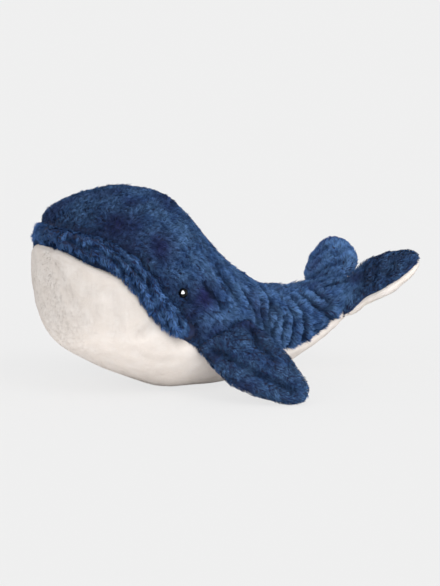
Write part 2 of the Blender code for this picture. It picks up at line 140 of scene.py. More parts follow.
def backingMaterial(name, look):
    # The knitted ground under the pile, seen only where the fur parts
    material, tree, shader = startMaterial(name, look["roughness"], look["sheen"])
    place = addNode(tree, "ShaderNodeTexCoord").outputs["Object"]
    colour = addNode(tree, "ShaderNodeMix", {
        "Factor": patchFactor(tree, place, look["mottleSize"], 1.0),
        "A": hexColour(look["dark"]), "B": hexColour(look["pale"]),
    }, data_type="RGBA")
    shade = addNode(tree, "ShaderNodeAttribute", attribute_name="pileShade").outputs["Fac"]
    paintShader(tree, shader, colour.outputs["Result"], shade)
    grain = addNode(tree, "ShaderNodeTexNoise", {
        "Vector": place, "Scale": 1 / look["grainSize"], "Detail": 2.0,
    })
    bump = addNode(tree, "ShaderNodeBump", {
        "Height": grain.outputs["Fac"], "Strength": look["bump"],
        "Distance": look["bumpHeight"],
    })
    tree.links.new(bump.outputs["Normal"], shader.inputs["Normal"])
    return material


def mouldedMaterial(name, look):
    # Moulded plastic, its tone wandering a little from one grain to the next
    material, tree, shader = startMaterial(name, look["roughness"], specular=look["specular"])
    grain = addNode(tree, "ShaderNodeTexNoise", {
        "Vector": addNode(tree, "ShaderNodeTexCoord").outputs["Object"],
        "Scale": 1 / look["grainSize"], "Detail": 2.0,
    })
    tint = addNode(tree, "ShaderNodeMix", {
        "Factor": grain.outputs["Fac"], "A": hexColour(look["dark"]), "B": hexColour(look["pale"]),
    }, data_type="RGBA")
    tree.links.new(tint.outputs["Result"], shader.inputs["Base Color"])
    return material


# Polyester rabbit-fur plush: long fine fibres in soft locks, a matt deep blue with a pale sheen
# along the nap
blueFurLook = {
    "root": "17233D", "tip": "3B5A8A", "brushed": "5B7EA8", "patchSize": 0.020,
    "patchShare": 0.45, "laidOver": "24264F", "roughness": 0.85, "sheen": 0.16,
    "sheenRoughness": 0.5, "sheenTint": "4F7ABC", "specular": 0.06,
}
bluePile = pileMaterial("rabbitFurPlushBlue", blueFurLook)
# The same fur on the lip, stretched round the roll, so that its ends stand apart and catch light
lipPile = pileMaterial("rabbitFurPlushLip", {
    **blueFurLook, "root": "15223F", "tip": "36568C", "brushed": "5F86B6",
    "patchSize": 0.012, "patchShare": 0.40, "laidOver": "22294F",
})
# Knitted polyester ground dyed with the fur: flat and dark between the locks
blueBacking = backingMaterial("knittedBackingBlue", {
    "dark": "121B36", "pale": "1B2C55", "mottleSize": 0.012, "grainSize": 0.0012,
    "roughness": 0.95, "sheen": 0.1, "bump": 0.4, "bumpHeight": 0.0004,
})
# Short velboa plush: a cut pile of about 1 mm that looks like felted wool, a warm off-white with
# faint bruises
ecruPile = pileMaterial("shortPlushEcru", {
    "root": "F3EAE3", "tip": "F8F1EC", "brushed": "EEE4DB", "patchSize": 0.020,
    "patchShare": 0.5, "laidOver": "EFE6DD",
    "roughness": 0.9, "sheen": 0.10, "sheenRoughness": 0.4, "sheenTint": "FFF6EE", "specular": 0.10,
})
# Its ground, dyed as pale as the pile: it keeps the gaps between the fibres from turning dark
ecruBacking = backingMaterial("knittedBackingEcru", {
    "dark": "EEE5DD", "pale": "F4EDE7", "mottleSize": 0.018, "grainSize": 0.0016,
    "roughness": 0.9, "sheen": 0.15, "bump": 0.1, "bumpHeight": 0.0004,
})


# Grid helpers: a form is an array of rings by columns by xyz

def curveRows(rows, places):
    # Smooth curve through the rows, read at row numbers with a fraction
    rows = np.asarray(rows, float)
    last = len(rows) - 1
    first = np.clip(places.astype(int), 0, last - 1)
    share = (places - first)[:, None]
    before, start, end, after = (rows[np.clip(first + step, 0, last)] for step in (-1, 0, 1, 2))
    riseIn, riseOut = (end - before) / 2, (after - start) / 2
    bend = 2 * start - 2 * end + riseIn + riseOut
    swing = 3 * end - 3 * start - 2 * riseIn - riseOut
    return start + share * (riseIn + share * (swing + share * bend))


def unit(vectors):
    return vectors / np.maximum(np.linalg.norm(vectors, axis=-1, keepdims=True), tiny)


def flattened(vectors, normals):
    # Directions laid into the surface that has these normals
    return unit(vectors - normals * np.sum(vectors * normals, axis=-1, keepdims=True))


def gridFrame(points):
    # Outward normals of a form that closes round its rings, and the nap's way from ring to ring
    along = np.gradient(points, axis=0)
    across = np.roll(points, -1, axis=1) - np.roll(points, 1, axis=1)
    normals = unit(np.cross(across, along))
    middle = points.mean(axis=1, keepdims=True)
    if np.mean(np.sum(normals * (points - middle), axis=-1)) < 0:
        normals = -normals
    for ring, inner in ((0, 1), (-1, -2)):  # an end ring may be one point, where the slope is lost
        if np.ptp(points[ring], axis=0).max() < millimetre / 1000:
            normals[ring] = unit(normals[inner].mean(axis=0))
    return normals, flattened(along, normals)


noiseStep = (7.31, 3.17, 5.93)  # each seed reads the noise that much further on


def readNoise(points, size, seed):
    # Soft noise between -1 and 1 at each point
    shift = Vector([seed * step for step in noiseStep])
    flat = points.reshape(-1, 3) / size
    values = [noise.noise(Vector(point) + shift) for point in flat]
    return np.array(values).reshape(points.shape[:-1])


def pathDistance(points, path):
    best = np.full(points.shape[:-1], far)
    for start, end in zip(path, path[1:]):
        run = end - start
        share = np.clip(((points - start) @ run) / max(run @ run, tiny), 0, 1)
        gap = np.linalg.norm(points - start - share[..., None] * run, axis=-1)
        best = np.minimum(best, gap)
    return best


foldSwell = {"height": 0.3, "place": 2.0}  # beside a crease, in its own depths and widths


def foldRelief(points, paths, width, depth):
    # Height change for creases along the paths, with a soft swelling on both sides of each
    total = np.zeros(points.shape[:-1])
    for path in paths:
        gap = pathDistance(points, path) / width
        beside = foldSwell["height"] * np.exp(-(gap - foldSwell["place"]) ** 2)
        total -= depth * (np.exp(-gap ** 2) - beside)
    return total


def smoothPath(path, steps=5):
    places = np.linspace(0, len(path) - 1, (len(path) - 1) * steps + 1)
    return curveRows(path, places)


def storeValues(mesh, label, values):
    store = mesh.attributes.new(label, "FLOAT", "POINT")
    store.data.foreach_set("value", values.astype(np.float32))


def shellMesh(name, points, normals, thickness, wrapped=False, shade=1.0):
    # A closed sheet of cloth: the outer face, an inner face and the rim between them
    rings, columns = points.shape[:2]
    inner = points - normals * thickness
    vertices = np.concatenate([points.reshape(-1, 3), inner.reshape(-1, 3)])
    base = rings * columns
    index = np.arange(base).reshape(rings, columns)
    if wrapped:
        index = np.concatenate([index, index[:, :1]], axis=1)
    a, b, c, d = index[:-1, :-1], index[:-1, 1:], index[1:, 1:], index[1:, :-1]
    outer = np.stack([a, b, c, d], axis=-1).reshape(-1, 4)
    faces = [outer, outer[:, ::-1] + base]
    edges = [(index[0, 1:], index[0, :-1]), (index[-1, :-1], index[-1, 1:])]
    if not wrapped:
        edges += [(index[:-1, 0], index[1:, 0]), (index[1:, -1], index[:-1, -1])]
    for near, far in edges:
        faces.append(np.stack([near, far, far + base, near + base], axis=-1))
    mesh = bpy.data.meshes.new(name)
    mesh.from_pydata(vertices.tolist(), [], np.concatenate(faces).tolist())
    storeValues(mesh, "pileShade", np.tile(np.broadcast_to(shade, (rings, columns)).ravel(), 2))
    return tidyMesh(mesh, 0.02 * millimetre)


def tidyMesh(mesh, distance):
    work = bmesh.new()
    work.from_mesh(mesh)
    bmesh.ops.remove_doubles(work, verts=work.verts, dist=distance)
    bmesh.ops.recalc_face_normals(work, faces=work.faces)
    work.to_mesh(mesh)
    work.free()
    mesh.shade_smooth()
    return mesh


def addPiece(name, mesh, material, nodes=()):
    piece = addObject(name, mesh)
    mesh.materials.append(material)
    if nodes:
        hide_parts(*nodes)
    return piece


# What all strands share; lengths are shares of the strand's own
strandForm = {
    "barest": 0.05,  # none is planted where it would be shorter than this
    "joint": 0.55, "jointWidth": 0.8,  # where it bends, and how wide it still is there
    "leanSpread": 0.08, "leanLimits": (0.15, 1.40), "spin": 0.7,
    "tuftTall": 0.12, "tall": (0.8, 1.1), "wide": (0.75, 1.2), "lowest": 0.3 * millimetre,
    "pull": (0.6, 1.0), "jointPull": 0.35, "pullReach": 9,  # the reach in spacings
    "lockStretch": 0.6, "leanLock": 0.7, "toneLock": 0.5, "tuftTone": 0.45, "tones": (0.15, 2.2),
}


def plantRoots(sheet, pile, rng):
    # Random places on the sheet, evenly by area, with what the sheet's maps say at each: the share
    # of the full length, the shade, how far it is laid over, and how far it stands up
    points = sheet["points"]
    plain = {"share": 1.0, "shade": 1.0, "laid": 0.0, "stand": 0.0}
    maps = {
        key: np.broadcast_to(sheet.get(key, value), points.shape[:2])
        for key, value in plain.items()
    }
    corners = [(slice(None, -1), slice(None, -1)), (slice(None, -1), slice(1, None)),
               (slice(1, None), slice(1, None)), (slice(1, None), slice(None, -1))]
    a, b, c, d = (points[corner] for corner in corners)
    area = 0.5 * np.linalg.norm(np.cross(c - a, d - b), axis=-1)
    planted = area * (maps["share"][corners[0]] > strandForm["barest"])
    count = int(planted.sum() / pile["spacing"] ** 2)
    cell = rng.choice(planted.size, count, p=planted.ravel() / planted.sum())
    ring, column = np.unravel_index(cell, planted.shape)
    u, v = rng.random((2, count, 1))
    weights = ((1 - u) * (1 - v), u * (1 - v), u * v, (1 - u) * v)
    picks = ((ring, column), (ring, column + 1), (ring + 1, column + 1), (ring + 1, column))

    def blendCorners(values):
        return sum(values[pick] * weight for pick, weight in zip(picks, weights))

    up = unit(blendCorners(sheet["normals"]))
    flow = flattened(blendCorners(sheet["nap"]), up)
    read = {key: blendCorners(value[..., None]) for key, value in maps.items()}
    return blendCorners(points), up, flow, read


def growPile(name, sheet, pile, material):
    # Plants tapered strands over a sheet, leaning along the nap, drawn into tufts and laid in
    # wider locks
    rng = np.random.default_rng(pile["seed"])
    root, up, flow, maps = plantRoots(sheet, pile, rng)
    count = len(root)
    tufts = max(int(count / pile["perTuft"]), 1)
    heads, headFlow, lockSize = root[:tufts], flow[:tufts], pile["lockSize"]
    tree = KDTree(tufts)
    for number, head in enumerate(heads):
        tree.insert(head, number)
    tree.balance()
    leader = np.array([tree.find(point)[1] for point in root])
    lockTurn = readNoise(heads, lockSize, seed=3)[leader]
    lockLean = readNoise(heads, lockSize * strandForm["leanLock"], seed=4)[leader]
    # Locks are long along the nap and narrow across it
    along = headFlow * np.sum(heads * headFlow, axis=1, keepdims=True)
    stretched = heads - along * strandForm["lockStretch"]
    lockTone = readNoise(stretched, lockSize * strandForm["toneLock"], seed=6)[leader]

    yaw = rng.normal(0, pile["tuftYaw"], tufts)[leader] + rng.normal(0, pile["strandYaw"], count)
    yaw = (yaw + lockTurn * pile["lockYaw"])[:, None]
    tilt = pile["lean"] + rng.normal(0, pile["tuftLean"], tufts)[leader]
    tilt = tilt + lockLean * pile["lockLean"] + rng.normal(0, strandForm["leanSpread"], count)
    tilt = np.clip(tilt, *strandForm["leanLimits"])[:, None] * (1 - maps["stand"])
    tall = rng.normal(1, strandForm["tuftTall"], tufts)[leader]
    tall = (tall * rng.uniform(*strandForm["tall"], count))[:, None]
    flow = flow * np.cos(yaw) + np.cross(up, flow) * np.sin(yaw)
    reach = pile["length"] * maps["share"] * tall
    joint = strandForm["joint"]
    middle = root + reach * joint * (up * np.cos(tilt * joint) + flow * np.sin(tilt * joint))
    end = root + reach * (up * np.cos(tilt) + flow * np.sin(tilt))
    fromLeader = np.linalg.norm(root - root[leader], axis=1, keepdims=True)
    near = fromLeader < strandForm["pullReach"] * pile["spacing"]
    pull = pile["clump"] * rng.uniform(*strandForm["pull"], (count, 1)) * near
    end = end + (end[leader] - end) * pull
    middle = middle + (middle[leader] - middle) * pull * strandForm["jointPull"]
    spin = rng.uniform(-strandForm["spin"], strandForm["spin"], (count, 1))
    side = np.cross(up, flow) * np.cos(spin) + up * np.sin(spin)
    side = side * (pile["width"] / 2 * rng.uniform(*strandForm["wide"], (count, 1)))
    slim = side * strandForm["jointWidth"]
    # Each strand is a quad up to its joint and a triangle from there to its tip
    vertices = np.stack([root - side, root + side, middle + slim, middle - slim, end], axis=1)
    vertices[..., 2] = np.maximum(vertices[..., 2], strandForm["lowest"])
    first = np.arange(count) * 5
    quads = np.stack([first + 3, first + 2, first + 1, first], axis=1)
    tips = np.stack([first + 4, first + 2, first + 3], axis=1)
    corners = np.concatenate([quads.ravel(), tips.ravel()])
    starts = np.concatenate([np.arange(count) * 4, count * 4 + np.arange(count) * 3])
    mesh = bpy.data.meshes.new(name)
    mesh.vertices.add(vertices.size // 3)
    mesh.vertices.foreach_set("co", vertices.reshape(-1).astype(np.float32))
    mesh.loops.add(len(corners))
    mesh.loops.foreach_set("vertex_index", corners.astype(np.int32))
    mesh.polygons.add(len(starts))
    mesh.polygons.foreach_set("loop_start", starts.astype(np.int32))
    mesh.update(calc_edges=True)

    byTuft = strandForm["tuftTone"]
    own = (rng.random(tufts)[leader] * byTuft + rng.random(count) * (1 - byTuft)) * 2 - 1
    tone = maps["shade"][:, 0] * (1 + own * pile["tuftSpread"])
    tone = np.clip(tone * (1 + lockTone * pile["lockSpread"]), *strandForm["tones"])
    storeValues(mesh, "pileTip", np.tile((0.0, 0.0, joint, joint, 1.0), count))
    storeValues(mesh, "pileShade", np.repeat(tone, 5))
    storeValues(mesh, "pileLaid", np.repeat(maps["laid"][:, 0], 5))
    # Strands shade like the cloth that they stand on, a little turned by their own lean
    ruffled = unit(rng.normal(0, 1, (tufts, 3)))[leader] * pile["ruffle"]
    lightward = unit(up - flow * pile["facing"] + ruffled)
    mesh.shade_smooth()
    mesh.normals_split_custom_set_from_vertices(np.repeat(lightward, 5, axis=0).tolist())
    print("  pile", name, count, "strands")
    return addPiece(name, mesh, material)


bluePileForm = {
    "length": 0.0064, "spacing": 0.00104, "width": 0.00068, "perTuft": 8,
    "lean": 1.08, "tuftLean": 0.13, "tuftYaw": 0.32, "strandYaw": 0.26, "clump": 0.28,
    "lockSize": 0.014, "lockYaw": 0.6, "lockLean": 0.30, "lockSpread": 0.52, "tuftSpread": 0.72,
    "facing": 0.30, "ruffle": 0.38,
}
# On the limbs the fur is worn shorter and lies flatter
limbPileForm = {
    **bluePileForm, "length": 0.0050, "lean": 1.14, "clump": 0.24,
    "lockSpread": 0.60, "tuftSpread": 0.60,
}
# On the crown it stands in small curls
crownPileForm = {
    **bluePileForm, "length": 0.0058, "spacing": 0.00094, "perTuft": 6, "tuftYaw": 0.70,
    "strandYaw": 0.40, "clump": 0.38, "lockYaw": 0.9, "lockLean": 0.40, "tuftSpread": 0.85,
    "ruffle": 0.60,
}
ecruPileForm = {
    "length": 0.0007, "spacing": 0.00121, "width": 0.0017, "perTuft": 5,
    "lean": 1.50, "tuftLean": 0.02, "tuftYaw": 0.2, "strandYaw": 0.2, "clump": 0.15,
    "lockSize": 0.014, "lockYaw": 0.4, "lockLean": 0.03, "lockSpread": 0.04, "tuftSpread": 0.02,
    "facing": 0.05, "ruffle": 0.04,
}


# Body: one form from nose to tail, in the two panels that meet at the side seam

bodyForm = {
    "length": 0.397, "halfWidth": 0.107, "height": 0.2236, "noseToOrigin": 0.21514,
    "roundness": 2.25, "backColumns": 150, "bellyColumns": 84, "ringsPerStation": 13,
    "pileDepth": 0.0032, "bellyDepth": 0.0010, "clothThickness": 0.0015,
    # From the nose: shares of the length, the half width, the height of the underside, of the
    # widest line and of the top, then the seam's turn below the widest line in degrees
    "stations": (
        (0.0000, 0.000, 0.731, 0.731, 0.731, -20),
        (0.0040, 0.230, 0.538, 0.701, 0.790, -17),
        (0.0200, 0.440, 0.368, 0.662, 0.848, -12),
        (0.0570, 0.675, 0.244, 0.609, 0.920, -8),
        (0.1040, 0.820, 0.185, 0.584, 0.961, -5),
        (0.1490, 0.920, 0.140, 0.569, 0.983, 1),
        (0.1940, 0.970, 0.099, 0.558, 0.996, 13),
        (0.2650, 1.000, 0.048, 0.538, 1.000, 23),
        (0.3450, 1.000, 0.001, 0.482, 0.968, 27),
        (0.4380, 0.950, -0.0022, 0.406, 0.786, 29),
        (0.5360, 0.830, -0.0022, 0.340, 0.623, 27),
        (0.6320, 0.680, 0.010, 0.305, 0.512, 24),
        (0.7310, 0.540, 0.047, 0.289, 0.453, 28),
        (0.8210, 0.470, 0.118, 0.294, 0.447, 22),
        (0.9040, 0.430, 0.215, 0.355, 0.465, 11),
        (0.9600, 0.340, 0.300, 0.411, 0.482, 2),
        (1.0000, 0.000, 0.406, 0.406, 0.406, 0),
    ),
}


def bodyPlaces(form, rows, turns):
    # Points of the body, from rows of the stations' values and the turns round each ring
    along, halfWidth, underside, widest, top = (rows[:, column, None] for column in range(5))
    across, rise = (
        np.sign(part) * np.abs(part) ** (2 / form["roundness"])
        for part in (np.cos(turns), np.sin(turns))
    )
    tall = np.where(rise > 0, np.maximum(top - widest, 0), np.maximum(widest - underside, 0))
    return np.stack([
        np.maximum(halfWidth, 0) * form["halfWidth"] * across,
        np.broadcast_to(along * form["length"] - form["noseToOrigin"], across.shape),
        (widest + tall * rise) * form["height"],
    ], axis=-1)


def bodyGrid(form):
    last = len(form["stations"]) - 1
    rows = curveRows(form["stations"], np.linspace(0, last, last * form["ringsPerStation"] + 1))
    seam = np.radians(rows[:, 5, None])
    shareBack = np.linspace(0, 1, form["backColumns"] + 1)[None, :]
    shareBelly = np.linspace(0, 1, form["bellyColumns"] + 1)[None, 1:-1]
    return bodyPlaces(form, rows, np.concatenate([
        -seam + (math.pi + 2 * seam) * shareBack,
        math.pi + seam + (math.pi - 2 * seam) * shareBelly,
    ], axis=1))


def surfacePoint(form, share, turn):
    # A place on the body, by the share of its length and the turn from its widest line in degrees
    rows = np.asarray(form["stations"], float)
    place = np.interp(share, rows[:, 0], np.arange(len(rows)))
    return bodyPlaces(form, curveRows(rows, np.array([place])), np.radians([[turn]]))[0, 0]


def gridTree(points):
    rings, columns = points.shape[:2]
    index = np.arange(rings * columns).reshape(rings, columns)
    beside = np.roll(index, -1, axis=1)
    faces = np.stack([index[:-1], beside[:-1], beside[1:], index[1:]], axis=-1).reshape(-1, 4)
    return BVHTree.FromPolygons(points.reshape(-1, 3).tolist(), faces.tolist())


bodyPoints = bodyGrid(bodyForm)
bodyNormals, bodyNap = gridFrame(bodyPoints)
bodyTree = gridTree(bodyPoints)
print("stage 2: body form", bodyPoints.shape)


# Lip: a stuffed roll of the blue plush sewn round the upper jaw, gathered towards its ends

lipForm = {
    "radius": 0.013, "sink": 0.004, "pileDepth": 0.0028, "axisSetback": 0.101,
    "clothThickness": 0.001, "steps": 120, "sides": 60, "smoothSpan": 9, "endRings": 8,
    "grooveAbove": 0.0040, "grooveBelow": 0.0020, "grooveWidth": 0.0055, "footShare": 0.8,
    "sideShares": ((8, 45), (0.2, 1.0)),  # the groove is faint in front and full at the sides
    "foldWidth": 0.0028, "foldDepth": 0.0052, "lump": 0.0011, "lumpSize": 0.016,
    "pressTurns": (-62, -40, -18, -4), "pressRise": 0.016, "pressSize": 0.25, "pressSink": 0.2,
    # Puckers: their depth, pitch and slant, how they wander, and how full they are by the turn
    "pucker": 0.0022, "puckerPitch": 0.0105, "slant": 0.010, "pinchPower": 2.5,
    "wander": 1.98, "wanderSize": 0.018, "wanderStretch": (0.4, 1, 1),
    "uneven": (0.75, 0.5), "unevenSize": 0.011,
    "gathered": ((20, 45, 66, 94, 102), (0.10, 0.35, 1.0, 1.0, 0.4)),
    # Painted light and shade on the fur: by the turn, a painted highlight on the puffs between the
    # puckers, painted shade in them and in the gathers
    "tone": ((8, 34, 60, 80), (0.80, 0.88, 0.78, 0.86)), "puffHighlight": 1.12, "pinchShade": 0.35,
    "foldShade": 0.0034, "shadeLimits": (0.25, 1.6),
    # Turn from straight ahead in degrees, then shares of the body height, the radius and the sink
    "stations": (
        (0, 0.800, 0.85, 1.95), (20, 0.787, 0.88, 1.90), (36, 0.763, 0.92, 1.6),
        (50, 0.731, 0.97, 1.2), (64, 0.662, 1.0, 1.0), (72, 0.589, 1.0, 1.0),
        (78, 0.518, 1.0, 1.0), (85, 0.442, 0.95, 1.0), (93, 0.376, 0.85, 1.0),
        (102, 0.317, 0.60, 1.0),
    ),
    # Gathers: (turn from straight ahead, place round the roll), 90 the top, 0 outwards, -90 below
    "folds": (
        ((40, 14), (50, 4), (59, -10), (67, -28), (75, -58)),
        ((47, 66), (56, 40), (65, 24), (75, 8), (84, -16), (93, -50)),
        ((24, 8), (32, 0), (42, -22)),
        ((66, 86), (71, 58), (74, 34)),
        ((76, 84), (80, 54), (84, 28)),
        ((86, 88), (90, 50), (94, 16)),
        ((62, -38), (64, -66)), ((81, -20), (80, -60)), ((90, -28), (89, -66)),
    ),
}


def lipRoute(form):
    # The roll's middle line from right to left, with its outward directions and sizes
    rows = np.array(form["stations"])
    turns = np.linspace(-rows[-1, 0], rows[-1, 0], 2 * form["steps"] + 1)
    heights, sizes, sinks = (
        np.interp(np.abs(turns), rows[:, 0], rows[:, column]) for column in (1, 2, 3)
    )
    # The right front of the roll is pressed a little flatter and higher than the left
    pressed = np.interp(turns, form["pressTurns"], (0, 1, 1, 0))
    heights = heights + form["pressRise"] * pressed
    sizes = sizes * (1 - form["pressSize"] * pressed)
    sinks = sinks * (1 + form["pressSink"] * pressed)
    middles, outs = [], []
    for turn, height, sink in zip(turns, heights * bodyForm["height"], sinks * form["sink"]):
        ray = Vector((math.sin(math.radians(turn)), -math.cos(math.radians(turn)), 0))
        start = Vector((0, form["axisSetback"] - bodyForm["noseToOrigin"], height))
        place, normal, _, _ = bodyTree.ray_cast(start, ray)
        outward = normal if normal.dot(ray) > 0 else -normal
        middles.append(place - outward * sink)
        outs.append(outward)
    middles, outs = np.array(middles), np.array(outs)
    span = form["smoothSpan"]
    for values in (middles, outs):
        padded = np.pad(values, ((span // 2, span // 2), (0, 0)), mode="edge")
        for axis in range(3):
            values[:, axis] = np.convolve(padded[:, axis], np.ones(span) / span, mode="valid")
    return turns, middles, outs, sizes


lipTurns, lipMiddles, lipOuts, lipSizes = lipRoute(lipForm)


def lipGrid(form):
    along = unit(np.gradient(lipMiddles, axis=0))
    up = unit(np.cross(lipOuts, along))
    across = np.cross(along, up)
    rings, away = np.arange(len(lipTurns)), np.abs(lipTurns)
    ends = np.clip((len(rings) / 2 - np.abs(rings - form["steps"])) / form["endRings"], 0, 1)
    ends = np.sqrt(ends)
    radius = (form["radius"] - form["pileDepth"]) * lipSizes * ends
    angles = np.linspace(0, math.tau, form["sides"], endpoint=False)
    cosines, sines = np.cos(angles)[None, :, None], np.sin(angles)[None, :, None]
    spokes = across[:, None] * cosines + up[:, None] * sines
    points = lipMiddles[:, None] + spokes * radius[:, None, None]

    # Puckers: narrow slanting pinches with full puffs between them, uneven in pitch and depth
    step = np.linalg.norm(np.diff(lipMiddles, axis=0), axis=1)
    run = np.concatenate([[0], np.cumsum(step)])
    fromFront = np.abs(run - run[form["steps"]])[:, None]
    phase = (fromFront + form["slant"] * sines[..., 0]) / form["puckerPitch"]
    wander = readNoise(points * form["wanderStretch"], form["wanderSize"], seed=9) * form["wander"]
    pinch = np.maximum(np.cos(math.tau * phase + wander), 0) ** form["pinchPower"]
    even, odd = form["uneven"]
    pinch = pinch * (even + odd * readNoise(points, form["unevenSize"], seed=12))
    pinch = pinch * np.interp(away, *form["gathered"])[:, None]

    def rollPoint(turn, way):
        at, angle = int(np.interp(turn, lipTurns, rings)), math.radians(way)
        spoke = across[at] * math.cos(angle) + up[at] * math.sin(angle)
        return lipMiddles[at] + spoke * radius[at]

    folds = foldRelief(points, [
        smoothPath([rollPoint(side * turn, way) for turn, way in path])
        for path in form["folds"] for _, side in sides
    ], form["foldWidth"], form["foldDepth"])
    lumps = readNoise(points, form["lumpSize"], seed=14) * form["lump"]
    relief = (lumps + folds - form["pucker"] * pinch) * ends[:, None]
    # Painted shade in the pinches and gathers, a painted highlight on the puffs and on the swellings
    # beside the gathers, and lighter or darker by the turn round the roll
    shade = form["puffHighlight"] - form["pinchShade"] * pinch + folds / form["foldShade"]
    shade = shade * np.interp(away, *form["tone"])[:, None]
    return points + spokes * relief[..., None], np.clip(shade, *form["shadeLimits"])


# Creases and hollows of the body: each is a path of places, by the share of the length and the turn
# from the widest line in degrees

bodyFolds = (
    # Gathers across the tail stock
    {"width": 0.0046, "depth": 0.0056, "paths": (
        ((0.58, 28), (0.575, 12), (0.585, -8)),
        ((0.61, 24), (0.605, 5), (0.61, -18)),
        ((0.63, 34), (0.64, 15), (0.62, -12)),
        ((0.66, 30), (0.67, 8), (0.655, -22)),
        ((0.70, 27), (0.71, 6), (0.69, -24)),
        ((0.73, 50), (0.74, 22), (0.75, -20)),
        ((0.77, 60), (0.795, 34), (0.835, 6), (0.86, -16)),
    )},
    # Long pulls that fan out of the stock over the back
    {"width": 0.0050, "depth": 0.0030, "paths": (
        ((0.64, 76), (0.62, 50), (0.615, 34), (0.625, 22)),
        ((0.66, 52), (0.69, 38), (0.70, 24)),
        ((0.505, 26), (0.525, 18), (0.545, 10), (0.55, 0)),
        ((0.41, 30), (0.42, 23), (0.45, 19), (0.475, 14)),
        ((0.355, 9), (0.39, 6), (0.41, 2)),
    )},
    # Under the eye
    {"width": 0.0032, "depth": 0.0022, "paths": (((0.28, 3), (0.30, -1), (0.325, -4)),)},
    # Where the flukes are sewn on
    {"width": 0.0045, "depth": 0.0042, "paths": (
        ((0.755, 86), (0.795, 72), (0.84, 66), (0.89, 65)),
        ((0.825, 62), (0.84, 38), (0.845, 20)),
        ((0.86, 66), (0.92, 60), (0.96, 62)),
    )},
)
# Dents of the pale cloth, where the filling has given way under the lip and along the belly
bellyFolds = (
    {"width": 0.0060, "depth": 0.0007, "paths": (
        ((0.055, -9), (0.08, -5), (0.10, -8), (0.115, -13)),
        ((0.10, -17), (0.12, -24), (0.118, -36)),
        ((0.005, -14), (0.018, -22), (0.03, -30)),
        ((0.175, -42), (0.225, -46), (0.275, -43)),
    )},
    {"width": 0.0080, "depth": 0.0018, "paths": (
        ((0.185, -28), (0.22, -20), (0.26, -21), (0.30, -27)),
    )},
)
bodySwell = ((0.038, 1, 0.0022), (0.016, 2, 0.0010))
# Finer lumps on the tail, squeezed together along it
tailSwell = {
    "size": 0.012, "seed": 8, "height": 0.0020, "start": 0.50, "full": 0.66,
    "squeeze": (1, 1.8, 1),
}


bodyShare = (bodyPoints[..., 1] + bodyForm["noseToOrigin"]) / bodyForm["length"]


def bodyCreases(folds):
    total = np.zeros(bodyPoints.shape[:2])
    for fold in folds:
        for _, side in sides:
            paths = [
                smoothPath([surfacePoint(bodyForm, *step) * (side, 1, 1) for step in path])
                for path in fold["paths"]
            ]
            total += foldRelief(bodyPoints, paths, fold["width"], fold["depth"])
    return total


def lumpRelief(points, lumps):
    # Lumps of the filling, each kind by its size, seed and height
    return sum(readNoise(points, size, seed) * height for size, seed, height in lumps)


def readLaid(points, look):
    # How far the fur lies over, in soft patches
    amount = readNoise(points, look["size"], look["seed"]) * look["rise"] - look["start"]
    return np.clip(amount, 0, look["most"])


overBack = (np.arange(bodyPoints.shape[1]) <= bodyForm["backColumns"])[None]
creases = np.where(overBack, bodyCreases(bodyFolds), bodyCreases(bellyFolds))
tailShare = bodyShare - tailSwell["start"]
tailShare = np.clip(tailShare / (tailSwell["full"] - tailSwell["start"]), 0, 1)
crumple = readNoise(bodyPoints * tailSwell["squeeze"], tailSwell["size"], tailSwell["seed"])
crumple = crumple * tailSwell["height"] * tailShare
swell = lumpRelief(bodyPoints, bodySwell) + crumple

# The cloth turns in beside the lip's stitching, deeper above it than below
lipGap = pathDistance(bodyPoints, lipMiddles) - lipForm["radius"] * lipForm["footShare"]
nearestLip = np.array([
    np.argmin(np.sum((lipMiddles - point) ** 2, axis=1)) for point in bodyPoints.reshape(-1, 3)
]).reshape(bodyPoints.shape[:2])
aboveLip = bodyPoints[..., 2] > lipMiddles[nearestLip, 2]
groove = np.exp(-(np.maximum(lipGap, 0) / lipForm["grooveWidth"]) ** 2)
lipSide = np.interp(np.abs(lipTurns[nearestLip]), *lipForm["sideShares"])
grooveDepth = np.where(aboveLip, lipForm["grooveAbove"] * lipSide, lipForm["grooveBelow"]) * groove

# Eyes lie in small hollows of shorter fur
eyeForm = {
    "setback": 0.1140, "height": 0.1180, "radius": 0.00525, "rise": 0.0042, "recess": 0.0016,
    "furGap": 0.0040, "furBlend": 0.008, "hollow": 0.0018, "hollowWidth": 0.011, "sink": 0.0012,
    "domeSteps": 16, "sides": 48, "sharpTurn": 50,
}
eyePlaces = {}
eyeGap = np.full(bodyPoints.shape[:2], far)
for sideName, side in sides:
    start = Vector((0, eyeForm["setback"] - bodyForm["noseToOrigin"], eyeForm["height"]))
    eyePlaces[sideName] = bodyTree.ray_cast(start, Vector((side, 0, 0)))[0]
    gap = np.linalg.norm(bodyPoints - np.array(eyePlaces[sideName]), axis=-1)
    eyeGap = np.minimum(eyeGap, gap)
eyeHollow = eyeForm["hollow"] * np.exp(-(eyeGap / eyeForm["hollowWidth"]) ** 2)

# The cloth turns in where the two panels are sewn together, and the filling shows less below
clothDetail = {
    "seamWidth": 0.0042, "seamDepth": 0.0024, "bellySwell": 0.4, "lowest": 0.4 * millimetre,
}
seamDip = np.zeros(bodyPoints.shape[:2])
for column in (0, bodyForm["backColumns"]):
    gap = np.linalg.norm(bodyPoints - bodyPoints[:, column:column + 1], axis=-1)
    dip = np.exp(-(gap / clothDetail["seamWidth"]) ** 2) * clothDetail["seamDepth"]
    seamDip = np.maximum(seamDip, dip)

depth = np.where(overBack, bodyForm["pileDepth"], bodyForm["bellyDepth"])
depth[:, [0, bodyForm["backColumns"]]] = (bodyForm["pileDepth"] + bodyForm["bellyDepth"]) / 2
relief = creases + swell * np.where(overBack, 1.0, clothDetail["bellySwell"])
relief = relief - depth - grooveDepth - eyeHollow - seamDip
moved = bodyPoints + bodyNormals * relief[..., None]
moved[..., 2] = np.maximum(moved[..., 2], clothDetail["lowest"])
movedNormals, movedNap = gridFrame(moved)

